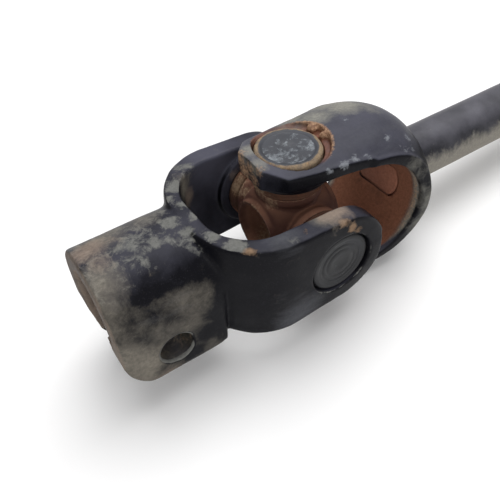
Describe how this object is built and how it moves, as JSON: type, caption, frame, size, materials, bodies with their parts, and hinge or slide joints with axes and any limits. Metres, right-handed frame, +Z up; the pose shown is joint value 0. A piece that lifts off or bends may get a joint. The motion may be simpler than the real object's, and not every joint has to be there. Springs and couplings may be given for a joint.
{
  "type": "steering shaft with universal joint",
  "caption": "Used steering shaft end with a universal joint: a solid round rod in a turned yoke, a rusty cross in staked needle bearings, and a split clamp collar with an empty bolt hole.",
  "frame": {"origin": "middle of the base of the bounding box, on the surface that the part lies on", "axes": "+X along the length from the clamp collar to the cut end of the shaft, which dips 5.1 degrees below it; +Y away from the pictured side, along the clamp yoke's bearings; +Z up"},
  "size_m": [0.2334, 0.0432, 0.0461],
  "materials": {
    "worn_black_paint": "black paint worn to grey steel, with rust and dust",
    "grey_painted_steel": "thin grey-black paint with khaki dust",
    "rusty_forged_steel": "bare forged steel with brown rust",
    "dull_drawn_steel": "dull and scuffed",
    "ground_steel": "ground bright, hidden inside the cups",
    "dusty_brown_rubber": "dusty and rust-stained",
    "pale_nylon": "moulded, hidden inside the cups"
  },
  "bodies": {
    "shaft_and_yoke": {"shaft_yoke": "worn_black_paint", "shaft": "grey_painted_steel", "top_bearing_cup": "dull_drawn_steel", "top_needle_set": "ground_steel", "top_seal": "dusty_brown_rubber", "top_thrust_pad": "pale_nylon", "bottom_bearing_cup": "dull_drawn_steel", "bottom_needle_set": "ground_steel", "bottom_seal": "dusty_brown_rubber", "bottom_thrust_pad": "pale_nylon"},
    "cross": {"cross": "rusty_forged_steel"},
    "clamp_yoke": {"clamp_yoke": "worn_black_paint", "near_bearing_cup": "dull_drawn_steel", "near_needle_set": "ground_steel", "near_seal": "dusty_brown_rubber", "near_thrust_pad": "pale_nylon", "far_bearing_cup": "dull_drawn_steel", "far_needle_set": "ground_steel", "far_seal": "dusty_brown_rubber", "far_thrust_pad": "pale_nylon"}
  },
  "joints": [
    {"name": "cross_in_shaft_yoke", "type": "hinge", "parent": "shaft_and_yoke", "child": "cross", "pos_m": [-0.06314, 0, 0.02345], "axis": [0.0896, 0, 0.996], "range_deg": [-35, 35]},
    {"name": "clamp_yoke_on_cross", "type": "hinge", "parent": "cross", "child": "clamp_yoke", "pos_m": [-0.06314, 0, 0.02345], "axis": [0, 1, 0], "range_deg": [-35, 35]}
  ]
}
